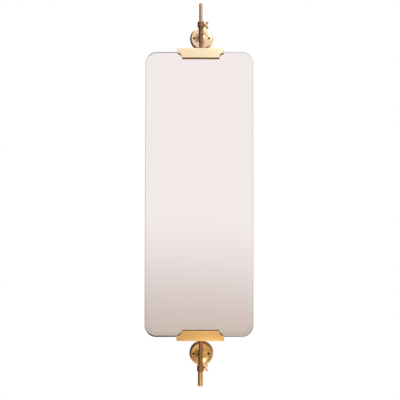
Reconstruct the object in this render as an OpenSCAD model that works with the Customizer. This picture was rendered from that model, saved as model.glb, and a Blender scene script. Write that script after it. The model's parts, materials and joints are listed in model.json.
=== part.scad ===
// Wall mirror that swivels between two brass brackets.
//
// A bevelled glass plate hangs between two clamps. Each clamp carries a rod, and each rod
// runs in the sleeve of a wall bracket. The lower rod stands on a ball, on top of a post
// that slides in the lower bracket and sets the height. A wing screw in each collar pushes
// a pad against the rod or the post and locks it.
//
// The wall is the plane y = 0, the glass faces -Y and +Z is up. The origin is the middle of
// the lower wall plate's back. The upper bracket is the lower one turned upside down.

/* [Glass] */
// Width of the glass
glass_w = 380; // [300:5:520]
// Height of the glass
glass_h = 1000; // [600:10:1400]
// Thickness of the glass
glass_t = 6; // [5:0.5:8]
// Radius of the glass's corners
glass_corner_r = 40; // [30:1:80]
// How far the glass's middle stands to the left of the rods
glass_left = 5; // [0:1:8]
// Width of the bevelled margin
bevel_w = 18; // [8:1:18]
// How much thinner the bevel leaves the edge of the glass
bevel_drop = 1; // [1:0.2:3.4]
// Thickness of the backing board
board_t = 2.5; // [2:0.5:4]
// How far the board's edge stays inside the edge of the glass
board_inset = 4; // [2:1:10]

/* [Clamps] */
// Width of each clamp
clamp_w = 165; // [120:5:220]
// How far a clamp reaches past the edge of the glass
clamp_beyond = 11; // [11:1:22]
// How far a clamp overlaps the glass
clamp_overlap = 23; // [19:1:30]
// Radius of the coves in the clamp's inner corners
cove_r = 17; // [6:1:18]
// Thickness of the front jaw
front_jaw_t = 10; // [6:0.5:10]
// Thickness of the back jaw behind the board
back_jaw_t = 4; // [4:0.5:7]
// Chamfer along the front jaw's outer edges
jaw_chamfer = 1.2; // [0.4:0.2:2.4]
// Thickness of the soft liner round the glass
liner_t = 1; // [0.6:0.1:2]
// How far the liner stands proud of the jaws' inner edge
liner_proud = 1.5; // [0.5:0.25:2]
// Diameter of the screws that hold the jaws together
jaw_screw_d = 4; // [3:0.5:5]
// Diameter of those screws' countersunk heads
jaw_screw_head_d = 8; // [6.5:0.5:9]
// How deep those screws go into the front jaw
jaw_screw_bite = 5.5; // [3:0.5:5.5]
// Distance of the inner pair of screws from the middle
inner_screw_x = 28; // [20:1:35]
// Distance of the outer pair of screws from the ends of the clamp
outer_screw_in = 13; // [10:1:20]

/* [Rods] */
// Diameter of the rods and of the post's shank
rod_d = 12; // [12:0.5:16]
// Length of the upper rod that stands above its collar
rod_above = 64; // [35:1:120]
// Chamfer on the upper rod's free end
rod_chamfer = 1.2; // [0.4:0.2:3]
// Diameter of the threaded spigot that a rod has in its clamp
spigot_d = 8; // [6:0.5:9]
// Length of that spigot
spigot_l = 9; // [8:0.5:9]
// Diameter of the grub screw that locks the spigot
grub_d = 4; // [3:0.5:5]

/* [Wall plates] */
// Diameter of a wall plate
plate_d = 86; // [76:1:110]
// Thickness of a wall plate
plate_t = 20; // [16:0.5:24]
// Radius of the plate's rounded-over edge
plate_round = 10; // [3:0.5:11]
// How much the plate's front falls from the foot to that edge
plate_dome = 2; // [0.5:0.5:3]
// Diameter of the two wall-screw holes
screw_hole_d = 6.5; // [4.5:0.5:7]
// Distance between the two wall-screw holes
screw_spacing = 55; // [52:1:60]
// Width of the countersinks round the wall-screw holes
countersink_d = 9; // [7.5:0.5:11]
// Diameter of the bolt that holds the arm on its plate
bolt_d = 8; // [6:1:8]
// Diameter of the bolt's head
bolt_head_d = 13; // [12:0.5:16]
// Height of the bolt's head
bolt_head_h = 5; // [4:0.5:6]
// Depth of the recess behind the plate for the bolt's head
bolt_recess = 6.5; // [6:0.5:7.5]
// How deep the bolt goes into the arm
bolt_bite = 16; // [10:1:20]

/* [Arms] */
// Distance from the wall to the axis of the rods
axis_off = 75; // [70:1:120]
// Diameter of the arm
arm_d = 14; // [13:0.5:18]
// Diameter of the foot that the arm stands on
foot_d = 34; // [32:1:40]
// Thickness of that foot
foot_t = 2.5; // [1.5:0.5:5]
// Radius of the cove between the foot and the arm
foot_cove_r = 8; // [4:0.5:8.5]
// Width of the ring that ends the arm
ring_l = 3; // [2:0.5:5]
// How far that ring stands proud of the arm
ring_proud = 1; // [0.5:0.25:2]
// Diameter of the spigot that holds the arm in the sleeve's boss
arm_spigot_d = 8; // [6:0.5:9]
// Length of that spigot
arm_spigot_l = 6; // [4:0.5:6.5]

/* [Sleeves] */
// Wall of a sleeve
sleeve_wall = 2; // [1.5:0.25:4]
// Wall of a collar
collar_wall = 6; // [5:0.5:8]
// Height of a collar
collar_h = 23.5; // [16:0.5:30]
// Chamfer on the collar's ends
collar_chamfer = 2.8; // [0.4:0.2:3.4]
// How far the wing screw sits from the collar's middle, towards the arm
screw_off_middle = 2; // [0:0.5:3]
// Distance from the arm's axis to the collar
arm_to_collar = 21.5; // [18:0.5:35]
// Length of the sleeve on the other side of the arm
sleeve_tail = 29; // [22:1:32]
// Distance from the rods' axis to the end of the boss that takes the arm
boss_reach = 16; // [15.5:0.5:22]
// How far the knuckle round the arm stands proud of the sleeve
knuckle_proud = 1; // [0.8:0.2:3]
// Distance from the upper clamp to the upper arm's axis
upper_reach = 53.5; // [45:0.5:90]
// Distance from the lower clamp to the lower arm's axis
lower_reach = 64.5; // [60:0.5:100]

/* [Post and ball] */
// Diameter of the post's grip
grip_d = 18; // [16:0.5:22]
// Length of the post's grip
grip_l = 50; // [30:1:90]
// Chamfer on the grip's free end
grip_chamfer = 3; // [0.6:0.2:4]
// Length of the post's shank, in the collar and the sleeve
shank_l = 42; // [40:1:50]
// Diameter of the ball that the lower rod turns on
ball_d = 8; // [6:0.5:9]
// Gap between the rod's end and the post's end, round the ball
ball_gap = 2.4; // [1.6:0.2:3]

/* [Wing screws] */
// Diameter of a wing screw's thread
wing_thread_d = 5; // [4:0.5:6]
// Diameter of the small boss round the screw
wing_boss_d = 12; // [9:0.5:13]
// How far that boss stands out of the collar
wing_boss_proud = 2.4; // [1:0.2:4]
// Bare thread between the boss and the hub
wing_bare = 1.4; // [1.3:0.1:3]
// Diameter of the hub
hub_d = 8.6; // [7:0.2:11]
// Length of the hub
hub_l = 6; // [4:0.5:9]
// Distance between the middles of the two lobes
lobe_spacing = 16.5; // [14:0.5:22]
// Diameter of a lobe
lobe_d = 10; // [7:0.5:12]
// Thickness of the wings
wing_t = 2.6; // [1.6:0.2:4]
// How far the lobes' middles lie past the hub's inner end
lobe_ahead = 6; // [4.5:0.5:9]
// Turn of the upper wings at rest, in degrees
upper_wing_turn = 28; // [0:1:90]
// Turn of the lower wings at rest, in degrees
lower_wing_turn = 6; // [0:1:90]
// Length of the pad in front of a wing screw
pad_l = 3; // [2:0.5:4]

/* [Clearances] */
// Gap all round a rod, ball or thread that turns or slides
running_gap = 0.05; // [0.02:0.01:0.08]
// Gap all round a screw that only passes through
passing_gap = 0.25; // [0.1:0.05:0.4]
// Gap between a pad and the rod that it locks
pad_gap = 0.3; // [0.25:0.05:0.5]

/* [Hidden] */

$fn = 64;
brass = "#b08a4f";
pale_brass = "#e2b871";
steel = "#9a9c9e";
cut = 1; // how far a cutting shape runs past the surface that it opens

rod_r = rod_d / 2;
bore_r = rod_r + running_gap;
sleeve_r = bore_r + sleeve_wall;
collar_r = bore_r + collar_wall;

// the clamp, from its outer edge towards the glass
clamp_h = clamp_beyond + clamp_overlap;
bar_h = clamp_beyond - liner_t;
slot_t = glass_t + board_t + 2 * liner_t;
block_t = back_jaw_t + slot_t;
screw_z = bar_h / 2;
jaw_screw_xs = [
    -clamp_w / 2 + outer_screw_in, -inner_screw_x, inner_screw_x, clamp_w / 2 - outer_screw_in
];
jaw_head_h = (jaw_screw_head_d - jaw_screw_d) / 2;

// depths, from the wall towards the viewer
axis_y = -axis_off;
block_back_y = axis_y + block_t / 2;
slot_back_y = block_back_y - back_jaw_t;
board_back_y = slot_back_y - liner_t;
glass_back_y = board_back_y - board_t;
jaw_back_y = slot_back_y - slot_t;

// heights
lower_arm_z = 0;
lower_clamp_z = lower_arm_z + lower_reach;
glass_z = lower_clamp_z + clamp_beyond;
upper_clamp_z = glass_z + glass_h + clamp_beyond;
upper_arm_z = upper_clamp_z + upper_reach;
collar_top = arm_to_collar + collar_h;
screw_level = arm_to_collar + collar_h / 2 - screw_off_middle;
shank_end = collar_top - shank_l;

// the wing screw, outwards from the axis of the rod
pad_x = rod_r + pad_gap;
thread_x = pad_x + pad_l;
boss_face_x = collar_r + wing_boss_proud;
hub_x = boss_face_x + wing_bare;
lobe_x = hub_x + lobe_ahead;

// Puts a bracket's piece, drawn with its collar upwards, in the upper or the lower bracket.
module in_bracket(upper) {
    if (upper)
        translate([0, 0, upper_arm_z]) children();
    else
        translate([0, 0, lower_arm_z]) mirror([0, 0, 1]) children();
}

// Puts a clamp's piece, drawn upwards from its outer edge, in the upper or the lower clamp.
module in_clamp(upper) {
    if (upper)
        translate([0, 0, upper_clamp_z]) mirror([0, 0, 1]) children();
    else
        translate([0, 0, lower_clamp_z]) children();
}

// Turns a shape drawn along +Z so that it points out of the wall, towards -Y.
module out_of_wall() {
    rotate([90, 0, 0]) children();
}

module hex_socket(width, depth) {
    translate([0, 0, -cut]) cylinder(d = width, h = depth + cut, $fn = 6);
}

// ---- wall bracket ----

module wall_plate(upper) {
    plate_r = plate_d / 2;
    rim_r = plate_r - plate_round;
    rim_t = plate_t - plate_dome;
    flat_r = foot_d / 2 + 1;
    hole_t = plate_t - plate_dome * (screw_spacing / 2 - flat_r) / (rim_r - flat_r);
    sink_h = (countersink_d - screw_hole_d) / 2;
    color(brass) in_bracket(upper) out_of_wall() difference() {
        rotate_extrude() {
            polygon([[0, 0], [rim_r, 0], [rim_r, rim_t], [flat_r, plate_t], [0, plate_t]]);
            square([plate_r, rim_t - plate_round]);
            intersection() {
                translate([rim_r, rim_t - plate_round]) circle(plate_round);
                square([plate_r, rim_t]);
            }
        }
        for (side = [-1, 1])
            translate([side * screw_spacing / 2, 0, 0]) {
                translate([0, 0, -cut]) cylinder(d = screw_hole_d, h = plate_t + 2 * cut);
                translate([0, 0, hole_t - sink_h])
                    cylinder(d1 = screw_hole_d, d2 = countersink_d, h = sink_h);
                translate([0, 0, hole_t]) cylinder(d = countersink_d, h = plate_dome + cut);
            }
        translate([0, 0, -cut]) cylinder(d = bolt_head_d + 4 * passing_gap, h = bolt_recess + cut);
        cylinder(d = bolt_d + 2 * passing_gap, h = plate_t + cut);
    }
}

module plate_bolt(upper) {
    color(steel) in_bracket(upper) out_of_wall()
        translate([0, 0, bolt_recess - bolt_head_h]) difference() {
            union() {
                cylinder(d = bolt_head_d, h = bolt_head_h);
                cylinder(d = bolt_d, h = bolt_head_h + plate_t - bolt_recess + bolt_bite);
            }
            hex_socket(bolt_d * 0.72, bolt_head_h * 0.6);
        }
}

module arm(upper) {
    arm_l = axis_off - boss_reach - plate_t;
    arm_r = arm_d / 2;
    foot_r = foot_d / 2;
    color(brass) in_bracket(upper) out_of_wall() translate([0, 0, plate_t]) difference() {
        union() {
            rotate_extrude() {
                square([foot_r, foot_t]);
                square([arm_r, arm_l]);
                translate([0, arm_l - ring_l]) square([arm_r + ring_proud, ring_l]);
                difference() {
                    square([arm_r + foot_cove_r, foot_t + foot_cove_r]);
                    translate([arm_r + foot_cove_r, foot_t + foot_cove_r]) circle(foot_cove_r);
                }
            }
            cylinder(d = arm_spigot_d, h = arm_l + arm_spigot_l);
        }
        translate([0, 0, -cut]) cylinder(d = bolt_d, h = bolt_bite + 2 + cut);
    }
}

module sleeve(upper) {
    color(brass) in_bracket(upper) translate([0, axis_y, 0]) difference() {
        union() {
            translate([0, 0, -sleeve_tail]) cylinder(r = sleeve_r, h = sleeve_tail + arm_to_collar);
            sphere(r = sleeve_r + knuckle_proud);
            rotate([-90, 0, 0]) cylinder(d = arm_d + 2 * ring_proud, h = boss_reach);
            translate([0, 0, arm_to_collar]) rotate_extrude() polygon([
                [0, 0],
                [collar_r - collar_chamfer, 0],
                [collar_r, collar_chamfer],
                [collar_r, collar_h - collar_chamfer],
                [collar_r - collar_chamfer, collar_h],
                [0, collar_h],
            ]);
            translate([0, 0, screw_level]) rotate([0, 90, 0])
                cylinder(d = wing_boss_d, h = boss_face_x);
        }
        translate([0, 0, -sleeve_tail - cut])
            cylinder(r = bore_r, h = sleeve_tail + collar_top + 2 * cut);
        translate([0, 0, screw_level]) rotate([0, 90, 0])
            cylinder(d = wing_thread_d + 2 * running_gap, h = boss_face_x + cut);
        translate([0, boss_reach + cut, 0]) rotate([90, 0, 0])
            cylinder(d = arm_spigot_d, h = arm_spigot_l + cut);
    }
}

module pressure_pad(upper) {
    color("#c9a86a") in_bracket(upper) translate([pad_x, axis_y, screw_level])
        rotate([0, 90, 0]) cylinder(d = wing_thread_d - 2 * running_gap, h = pad_l);
}

module wing_screw(upper) {
    hub_r = hub_d / 2;
    color(pale_brass) in_bracket(upper) translate([0, axis_y, screw_level])
        rotate([upper ? upper_wing_turn : lower_wing_turn, 0, 0]) {
            translate([thread_x, 0, 0]) rotate([0, 90, 0])
                cylinder(d = wing_thread_d, h = hub_x - thread_x + hub_l / 2);
            translate([hub_x, 0, 0]) rotate([0, 90, 0]) rotate_extrude() {
                square([hub_r, hub_l]);
                intersection() {
                    translate([0, hub_l]) circle(hub_r * 0.6);
                    square([hub_r, hub_l + hub_r]);
                }
            }
            rotate([90, 0, 0]) linear_extrude(wing_t, center = true)
                for (side = [-1, 1]) {
                    translate([lobe_x, side * lobe_spacing / 2]) circle(d = lobe_d);
                    polygon([
                        [hub_x + 0.5, 0],
                        [hub_x + hub_l, 0],
                        [lobe_x + lobe_d * 0.3, side * (lobe_spacing - lobe_d * 0.8) / 2],
                        [lobe_x - lobe_d * 0.4, side * (lobe_spacing + lobe_d * 0.46) / 2],
                        [hub_x + 0.5, side * hub_r],
                    ]);
                }
        }
}

// ---- rods, post and ball ----

module spigot(upper) {
    in_clamp(upper) translate([0, axis_y, 0]) cylinder(d = spigot_d, h = spigot_l);
}

module upper_rod() {
    rod_l = upper_reach + collar_top + rod_above;
    color(pale_brass) {
        spigot(true);
        translate([0, axis_y, upper_clamp_z]) rotate_extrude() polygon([
            [0, 0],
            [rod_r, 0],
            [rod_r, rod_l - rod_chamfer],
            [rod_r - rod_chamfer, rod_l],
            [0, rod_l],
        ]);
    }
}

ball_z = lower_arm_z - shank_end + ball_gap / 2;

module ball_cup() {
    translate([0, axis_y, ball_z]) sphere(r = ball_d / 2 + running_gap);
}

module lower_rod() {
    rod_end_z = ball_z + ball_gap / 2;
    color(brass) difference() {
        union() {
            spigot(false);
            translate([0, axis_y, rod_end_z]) cylinder(r = rod_r, h = lower_clamp_z - rod_end_z);
        }
        ball_cup();
    }
}

module thrust_ball() {
    color(steel) translate([0, axis_y, ball_z]) sphere(d = ball_d);
}

module lower_post() {
    grip_r = grip_d / 2;
    color(brass) difference() {
        translate([0, axis_y, lower_arm_z - collar_top - grip_l]) rotate_extrude() polygon([
            [0, 0],
            [grip_r - grip_chamfer, 0],
            [grip_r, grip_chamfer],
            [grip_r, grip_l],
            [rod_r, grip_l],
            [rod_r, grip_l + shank_l],
            [0, grip_l + shank_l],
        ]);
        ball_cup();
    }
}

module rod_grub_screw(upper) {
    color(steel) in_clamp(upper) translate([0, block_back_y, screw_z]) out_of_wall() difference() {
        cylinder(d = grub_d, h = (block_t - spigot_d) / 2);
        hex_socket(grub_d * 0.5, grub_d * 0.4);
    }
}

// ---- clamps ----

module coves(depth) {
    for (side = [-1, 1])
        translate([side * clamp_w / 2, 0, clamp_h]) rotate([90, 0, 0])
            cylinder(r = cove_r, h = depth, center = true);
}

module clamp_front(upper) {
    color(pale_brass) in_clamp(upper) translate([0, jaw_back_y, 0]) difference() {
        intersection() {
            rotate([90, 0, 90]) linear_extrude(clamp_w, center = true) polygon([
                [0, 0],
                [-front_jaw_t + jaw_chamfer, 0],
                [-front_jaw_t, jaw_chamfer],
                [-front_jaw_t, clamp_h - jaw_chamfer],
                [-front_jaw_t + jaw_chamfer, clamp_h],
                [0, clamp_h],
            ]);
            linear_extrude(clamp_h) polygon([
                [-clamp_w / 2, 0],
                [-clamp_w / 2, -front_jaw_t + jaw_chamfer],
                [-clamp_w / 2 + jaw_chamfer, -front_jaw_t],
                [clamp_w / 2 - jaw_chamfer, -front_jaw_t],
                [clamp_w / 2, -front_jaw_t + jaw_chamfer],
                [clamp_w / 2, 0],
            ]);
        }
        coves(3 * front_jaw_t);
        for (x = jaw_screw_xs)
            translate([x, cut, screw_z]) out_of_wall()
                cylinder(d = jaw_screw_d, h = jaw_screw_bite + cut);
    }
}

module clamp_back(upper) {
    color(brass) in_clamp(upper) difference() {
        translate([-clamp_w / 2, slot_back_y, 0]) union() {
            cube([clamp_w, back_jaw_t, clamp_h]);
            translate([0, -slot_t, 0]) cube([clamp_w, slot_t, bar_h]);
        }
        translate([0, block_back_y, 0]) {
            coves(3 * back_jaw_t);
            for (x = jaw_screw_xs)
                translate([x, cut, screw_z]) out_of_wall() {
                    cylinder(d = jaw_screw_d + 2 * passing_gap, h = block_t + 2 * cut);
                    cylinder(d = jaw_screw_head_d + 2 * passing_gap, h = cut);
                    translate([0, 0, cut])
                        cylinder(d1 = jaw_screw_head_d + 2 * passing_gap,
                                 d2 = jaw_screw_d + 2 * passing_gap, h = jaw_head_h);
                }
            translate([0, cut, screw_z]) out_of_wall() cylinder(d = grub_d, h = block_t / 2 + cut);
        }
        translate([0, axis_y, -cut]) cylinder(d = spigot_d, h = spigot_l + cut);
    }
}

// Section of the glass and the board at a clamp, as [y, z], up to the height top.
function glass_section(top) = [
    [board_back_y, clamp_beyond],
    [board_back_y, top],
    [glass_back_y - glass_t, top],
    [glass_back_y - glass_t, clamp_beyond + bevel_w],
    [glass_back_y - glass_t + bevel_drop, clamp_beyond],
];

module clamp_liner(upper) {
    liner_w = clamp_w - 2 * cove_r;
    liner_top = clamp_h + liner_proud;
    color("#3a3632") in_clamp(upper) rotate([90, 0, 90]) linear_extrude(liner_w, center = true)
        difference() {
            translate([jaw_back_y, bar_h]) square([slot_t, liner_top - bar_h]);
            polygon(glass_section(liner_top + cut));
        }
}

module clamp_screws(upper) {
    color(steel) in_clamp(upper)
        for (x = jaw_screw_xs)
            translate([x, block_back_y, screw_z]) out_of_wall() difference() {
                union() {
                    cylinder(d1 = jaw_screw_head_d, d2 = jaw_screw_d, h = jaw_head_h);
                    cylinder(d = jaw_screw_d, h = block_t + jaw_screw_bite);
                }
                translate([-jaw_screw_head_d, -0.5, -cut])
                    cube([2 * jaw_screw_head_d, 1, cut + jaw_head_h / 2]);
            }
}

// ---- glass ----

module rounded_plate(w, h, r, t) {
    linear_extrude(t) {
        square([w - 2 * r, h], center = true);
        square([w, h - 2 * r], center = true);
        for (x = [-1, 1], z = [-1, 1])
            translate([x * (w / 2 - r), z * (h / 2 - r)]) circle(r);
    }
}

// The bevelled front of the plate: a flat face with a sloping margin all round.
module bevelled_face(w, h, r, margin, t) {
    rotate([90, 0, 0]) linear_extrude(h - 2 * r, center = true)
        polygon([[-w / 2, 0], [w / 2, 0], [w / 2 - margin, t], [margin - w / 2, t]]);
    rotate([90, 0, 90]) linear_extrude(w - 2 * r, center = true)
        polygon([[-h / 2, 0], [h / 2, 0], [h / 2 - margin, t], [margin - h / 2, t]]);
    for (x = [-1, 1], z = [-1, 1])
        translate([x * (w / 2 - r), z * (h / 2 - r), 0]) cylinder(r1 = r, r2 = r - margin, h = t);
}

module mirror_glass() {
    edge_t = glass_t - bevel_drop;
    color("#d9dfe0") translate([-glass_left, glass_back_y, glass_z + glass_h / 2]) out_of_wall() {
        rounded_plate(glass_w, glass_h, glass_corner_r, edge_t);
        translate([0, 0, edge_t])
            bevelled_face(glass_w, glass_h, glass_corner_r, bevel_w, bevel_drop);
    }
}

module backing_board() {
    color("#6d5a45") translate([-glass_left, board_back_y, glass_z + glass_h / 2]) out_of_wall()
        rounded_plate(glass_w - 2 * board_inset, glass_h - 2 * board_inset,
                      glass_corner_r - board_inset, board_t);
}

wall_plate(true);  // upper_wall_plate
plate_bolt(true);  // upper_plate_bolt
arm(true);  // upper_arm
sleeve(true);  // upper_sleeve
pressure_pad(true);  // upper_pressure_pad
wing_screw(true);  // upper_wing_screw
upper_rod();
rod_grub_screw(true);  // upper_rod_grub_screw
clamp_front(true);  // upper_clamp_front
clamp_back(true);  // upper_clamp_back
clamp_liner(true);  // upper_clamp_liner
clamp_screws(true);  // upper_clamp_screws
mirror_glass();
backing_board();
clamp_front(false);  // lower_clamp_front
clamp_back(false);  // lower_clamp_back
clamp_liner(false);  // lower_clamp_liner
clamp_screws(false);  // lower_clamp_screws
lower_rod();
rod_grub_screw(false);  // lower_rod_grub_screw
thrust_ball();
lower_post();
wall_plate(false);  // lower_wall_plate
plate_bolt(false);  // lower_plate_bolt
arm(false);  // lower_arm
sleeve(false);  // lower_sleeve
pressure_pad(false);  // lower_pressure_pad
wing_screw(false);  // lower_wing_screw
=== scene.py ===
# %% [markdown]
# # A wall mirror that swivels between two brass brackets
#
# A tall bevelled mirror hangs between two clamps. Each clamp carries a round rod, and each rod
# runs in the sleeve of a wall bracket. Wing screws lock the rods. The construction is already
# there as a fixed frame of plain solids, in metres: the wall is the plane y = 0, the glass faces
# -Y and +Z is up. This script dresses that frame. It models the pieces whose rounded edges,
# castings and turned profiles catch the light, gives every surface a finish, and sets a light
# and a camera.

# %% The frame
import json
import math
import bmesh
import bpy
from mathutils import Matrix, Vector


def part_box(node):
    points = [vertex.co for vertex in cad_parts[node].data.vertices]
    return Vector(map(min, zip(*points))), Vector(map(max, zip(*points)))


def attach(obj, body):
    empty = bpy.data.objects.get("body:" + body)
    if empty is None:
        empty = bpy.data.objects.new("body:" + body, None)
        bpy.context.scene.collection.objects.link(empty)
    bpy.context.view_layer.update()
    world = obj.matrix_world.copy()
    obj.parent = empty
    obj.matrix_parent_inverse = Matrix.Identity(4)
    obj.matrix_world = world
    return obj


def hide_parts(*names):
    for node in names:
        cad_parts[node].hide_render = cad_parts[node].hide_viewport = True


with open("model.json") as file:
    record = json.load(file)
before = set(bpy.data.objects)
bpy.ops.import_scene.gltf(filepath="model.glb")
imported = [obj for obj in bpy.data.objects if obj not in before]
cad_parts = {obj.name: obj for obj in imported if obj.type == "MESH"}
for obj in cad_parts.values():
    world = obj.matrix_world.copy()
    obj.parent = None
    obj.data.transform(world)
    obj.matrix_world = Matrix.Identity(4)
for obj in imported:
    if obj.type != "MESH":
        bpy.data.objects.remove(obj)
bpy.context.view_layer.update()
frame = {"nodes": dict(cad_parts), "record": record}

nodes = frame["nodes"]
record = frame["record"]
bodies = record["behaviour"]["bodies"]
body_of = {node: body for body, members in bodies.items() for node in members}
mm = 0.001

# %% [markdown]
# ## The camera
#
# The photograph shows the mirror almost square on, from two metres away and half-way up the
# glass. The lens comes from the picture: a metre of glass fills 284 of its 400 pixels. The view
# looks up by 1.6 degrees, because the top of the glass is a little narrower than its foot. The
# camera stands 9 cm to the right of the middle, which shows the wall plates slightly to the
# right of the rods, and at a height where both brackets hide as much of their plates as they do
# in the photograph. A small lens shift brings the mirror back to the middle.

# %% Camera
picture_px = 400
focal_px = 569.7
camera_at = Vector((0.09, -2.081, 0.5975))
look_up = math.radians(1.6)
shift = (-0.0656, -0.0718)

camera_data = bpy.data.cameras.new("camera")
camera_data.sensor_width = 36
camera_data.lens = focal_px / picture_px * camera_data.sensor_width
camera_data.shift_x, camera_data.shift_y = shift
camera = bpy.data.objects.new("camera", camera_data)
camera.matrix_world = (Matrix.Translation(camera_at)
                       @ Matrix.Rotation(math.pi / 2 + look_up, 4, "X"))
bpy.context.scene.collection.objects.link(camera)
bpy.context.scene.camera = camera
print("lens %.1f mm, shift" % camera_data.lens, shift)

# %% [markdown]
# ## Shader sums as plain Python
#
# A finish is a network of many small nodes, which is slow to read. Two small classes make it read
# like a formula. A `Value` wraps the output of a node, and its operators add Math nodes, also
# where the number comes first, as in 1 - mask. A `Network` wraps a node tree. Its method `node`
# adds any node, settings first and then the values or links of its sockets, and the other
# methods are short names for the nodes that come up again and again.

# %% Values
class Value:
    """One number, vector or colour of a shader network."""

    def __init__(self, network, socket):
        self.network = network
        self.socket = socket

    def maths(self, operation, *values):
        return self.network.maths(operation, self, *values)

    def __add__(self, other):
        return self.maths("ADD", other)

    def __sub__(self, other):
        return self.maths("SUBTRACT", other)

    def __rsub__(self, other):
        return self.network.maths("SUBTRACT", other, self)

    def __mul__(self, other):
        return self.maths("MULTIPLY", other)

    def __truediv__(self, other):
        return self.maths("DIVIDE", other)

    def __pow__(self, other):
        return self.maths("POWER", other)

    __radd__ = __add__
    __rmul__ = __mul__


print(Value.__doc__)

# %% Networks
class Network:
    """A node tree that is built from Python expressions."""

    def __init__(self, tree):
        self.tree = tree

    def node(self, kind, settings, sockets, output=0):
        made = self.tree.nodes.new(kind)
        for name, value in settings.items():
            setattr(made, name, value)
        for name, value in sockets.items():
            self.fill(made.inputs[name], value)
        return Value(self, made.outputs[output])

    def fill(self, socket, value):
        if isinstance(value, Value):
            self.tree.links.new(value.socket, socket)
        else:
            socket.default_value = value

    def maths(self, operation, *values):
        return self.node("ShaderNodeMath", {"operation": operation}, dict(enumerate(values)))

    def clamp(self, value):
        return self.node("ShaderNodeClamp", {}, {"Value": value})

    def between(self, value, low, high):
        """0 below low, 1 above high, and a soft step in between."""
        return self.node("ShaderNodeMapRange", {"interpolation_type": "SMOOTHSTEP"},
                         {"Value": value, "From Min": low, "From Max": high})

    def mix(self, factor, a, b):
        return self.node("ShaderNodeMix", {"data_type": "RGBA"}, {0: factor, 6: a, 7: b}, 2)

    def split(self, vector):
        parts = self.node("ShaderNodeSeparateXYZ", {}, {"Vector": vector}).socket.node
        return [Value(self, socket) for socket in parts.outputs]

    def join(self, x, y, z):
        return self.node("ShaderNodeCombineXYZ", {}, {"X": x, "Y": y, "Z": z})

    def noise(self, vector, scale, detail=3, roughness=0.5):
        sockets = {"Vector": vector, "Scale": scale, "Detail": detail, "Roughness": roughness}
        return self.node("ShaderNodeTexNoise", {}, sockets)


print("networks can", [name for name in vars(Network) if not name.startswith("_")])

# %% Colours
def colour(code):
    """The linear colour of a code such as "#c9985e"."""
    parts = [int(code[i:i + 2], 16) / 255 for i in (1, 3, 5)]
    return tuple(p / 12.92 if p <= 0.04045 else ((p + 0.055) / 1.055) ** 2.4 for p in parts)


def rgba(code, keep=1):
    """The same with its alpha, and with only the share keep of its light."""
    return (*(keep * part for part in colour(code)), 1)


print("yellow brass, linear:", [round(part, 3) for part in colour("#c9985e")])

# %% [markdown]
# ## A material with a place to start from
#
# Every finish here starts from the piece's own coordinates in metres, so a 2 mm scratch is
# 2 mm long on every piece. A `Finish` holds one material. Numbers that are the same all over
# are set on the shader itself. What varies is linked: to metallic and coat weight in brass, and
# in the last step, `done`, to colour, roughness and bump.

# %% Finishes
class Finish(Network):
    """A material, its Principled shader, and the coordinates of the piece that wears it."""

    def __init__(self, name, **constants):
        self.material = bpy.data.materials.new(name)
        self.material.use_nodes = True
        super().__init__(self.material.node_tree)
        self.shader = self.tree.nodes["Principled BSDF"]
        self.place = self.node("ShaderNodeTexCoord", {}, {}, "Object")
        for socket, value in constants.items():
            self.shader.inputs[socket.replace("_", " ")].default_value = value

    def set(self, socket, value):
        self.fill(self.shader.inputs[socket], value)

    def stretched(self, x, y, z):
        """The piece's coordinates, scaled, so that a noise on them becomes streaks."""
        return self.node("ShaderNodeMapping", {}, {"Vector": self.place, "Scale": (x, y, z)})

    def around_arm(self, arm_z):
        """The distance from the axis of the arm at that height, and the place along it."""
        x, y, z = self.split(self.place)
        up = z - arm_z * mm
        return (x * x + up * up) ** 0.5, y

    def done(self, base, roughness, height, distance):
        """The material. Its bump rises by height (0 to 1) times distance, in metres."""
        self.set("Base Color", base)
        self.set("Roughness", roughness)
        sockets = {"Height": height, "Distance": distance}
        self.set("Normal", self.node("ShaderNodeBump", {}, sockets))
        print(self.material.name, "has", len(self.tree.nodes), "nodes")
        return self.material


print(Finish.__doc__)

# %% [markdown]
# ## Brass
#
# The fittings are solid brass that was polished once and has darkened since. Three things make
# it look real: the bare metal shows a grain from how it was worked, a thin brown tarnish lies
# over it in patches, and both make the gloss uneven. One function makes them all, because they
# are one metal: `grain` says in which way the surface was worked, `depth` how deep that grain is,
# `groove` how much light its grooves keep, and a last mask says where more brown is painted on,
# partly tarnish and partly painted shade. Its clouds are about 2 cm wide and its specks about
# 1 mm.

# %% Brass
CLOUD_SCALE, SPECK_SCALE = 55, 900


def brass(name, metal, tarnish, cover, gloss, grain, dirt_and_shade=None, depth=0.00002, groove=0.86):
    """Worked brass, of which cover is the share under tarnish. depth is in metres."""
    finish = Finish(name, Specular_IOR_Level=0.5, Coat_Roughness=0.12, Coat_IOR=1.45)
    streaks = grain(finish)
    clouds = finish.noise(finish.place, CLOUD_SCALE, 5, 0.6)
    specks = finish.noise(finish.place, SPECK_SCALE, 2)
    brown = finish.between(clouds * 0.8 + streaks * 0.2, 0.72 - 0.4 * cover, 0.92 - 0.4 * cover)
    # The extra brown given to a piece here is partly tarnish and partly painted shade.
    if dirt_and_shade:
        brown = finish.clamp(brown + dirt_and_shade(finish) * (0.4 + clouds))
    spots = finish.between(specks, 0.62, 0.74)
    bare = finish.mix(streaks, rgba(metal), rgba(metal, groove))
    stained = finish.clamp(brown * 0.85 + spots * 0.15)
    finish.set("Metallic", 1 - brown * 0.12)
    finish.set("Coat Weight", 0.12 + (1 - brown) * 0.1)
    rough = gloss + brown * 0.12 + (streaks - 0.5) * 0.1 + spots * 0.06
    return finish.done(finish.mix(stained, bare, rgba(tarnish)), rough,
                       streaks * 0.7 + specks * 0.3, depth)


print(brass.__doc__)

# %% Grains
def brushed_along_x(finish):
    return finish.noise(finish.stretched(14, 900, 900), 1, 4, 0.6)


def drawn_along_z(finish):
    return finish.noise(finish.stretched(900, 900, 10), 1, 4, 0.6)


def as_cast(finish):
    return finish.noise(finish.place, 420, 5, 0.65)


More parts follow.
